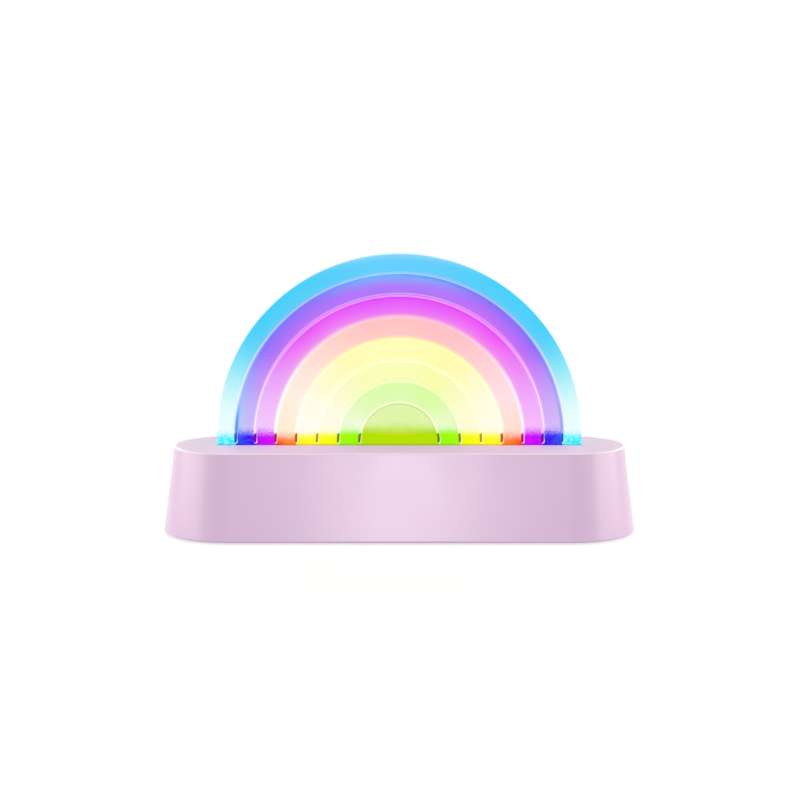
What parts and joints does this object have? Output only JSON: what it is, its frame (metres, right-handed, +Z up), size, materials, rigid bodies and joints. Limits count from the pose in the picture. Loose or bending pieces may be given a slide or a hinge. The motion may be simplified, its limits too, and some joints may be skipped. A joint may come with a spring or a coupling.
{
  "type": "rainbow lamp",
  "caption": "Small table lamp: a clear arched panel with nested grooves that glows in rainbow bands, standing in an oval base with sloping sides, a rear push button and a charging socket.",
  "frame": {"origin": "middle of the base's footprint, on the surface that the feet rest on", "axes": "+X along the base, to the right seen from the front; +Y to the rear, where the button and the socket are; +Z up"},
  "size_m": [0.2038, 0.0608, 0.1202],
  "materials": {
    "shell_plastic": "satin lilac-pink",
    "button_plastic": "satin lilac-pink",
    "foot_rubber": "matte",
    "lit_acrylic": "clear, frosted faces, lit from below",
    "white_plastic": "satin",
    "black_plastic": "satin",
    "circuit_board": "solder mask",
    "led_lens": "lit lens",
    "screw_steel": "satin",
    "bright_steel": "bright",
    "battery_foil": "satin",
    "foam": "matte foam",
    "lead_insulation": "satin"
  },
  "bodies": {
    "lamp": {"housing": "shell_plastic", "base_plate": "shell_plastic", "foot_front_left": "foot_rubber", "foot_front_right": "foot_rubber", "foot_rear_left": "foot_rubber", "foot_rear_right": "foot_rubber", "light_panel": "lit_acrylic", "led_carrier": "white_plastic", "light_divider": "white_plastic", "led_board": "circuit_board", "leds": "led_lens", "carrier_screws": "screw_steel", "control_board": "circuit_board", "board_chips": "black_plastic", "board_screws": "screw_steel", "usb_shell": "bright_steel", "usb_tongue": "black_plastic", "switch_body": "black_plastic", "battery": "battery_foil", "battery_pad": "foam", "battery_leads": "lead_insulation", "battery_plug": "white_plastic", "battery_socket": "white_plastic", "led_leads": "lead_insulation", "led_plug": "white_plastic", "led_socket": "white_plastic", "cover_screws": "screw_steel"},
    "button": {"switch_plunger": "white_plastic", "button_cap": "button_plastic"}
  },
  "joints": [
    {"name": "button_press", "type": "slide", "parent": "lamp", "child": "button", "axis": [0, -1, 0], "range_m": [0, 0.0015], "stiffness_N_per_m": 800, "springref_m": -0.0005}
  ]
}
